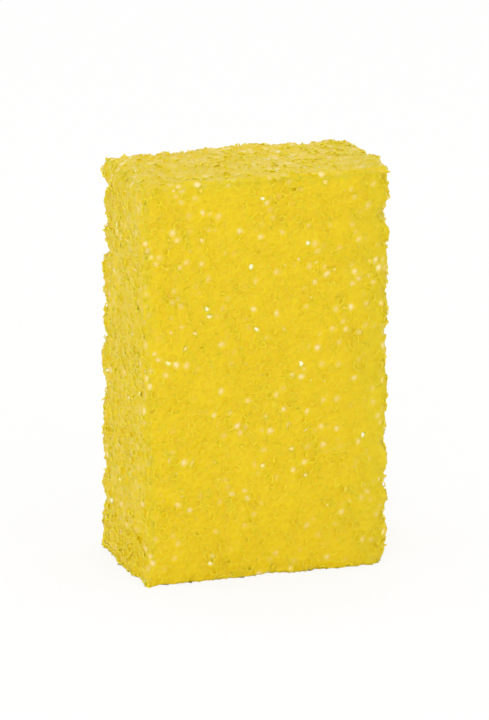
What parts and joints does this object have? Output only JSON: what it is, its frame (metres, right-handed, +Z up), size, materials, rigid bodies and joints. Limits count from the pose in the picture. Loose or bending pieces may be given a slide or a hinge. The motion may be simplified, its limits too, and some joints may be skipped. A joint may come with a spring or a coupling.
{
  "type": "cleaning sponge",
  "caption": "Brick-shaped cleaning sponge of coarse open-cell foam, standing on a short end, held in the hand to wipe, scrub and soak up water.",
  "frame": {"origin": "middle of the block's box at the level of the underside, the short end that it stands on", "axes": "+Z up along the height, the longest side; X across the broad front; Y from the front (-Y) to the back, the shortest side"},
  "size_m": [0.0732, 0.0416, 0.1123],
  "materials": {
    "foam": "coarse reticulated polyurethane foam, dry, satin struts with a few glossy cell windows"
  },
  "bodies": {
    "root": {"sponge": "foam"}
  },
  "joints": []
}
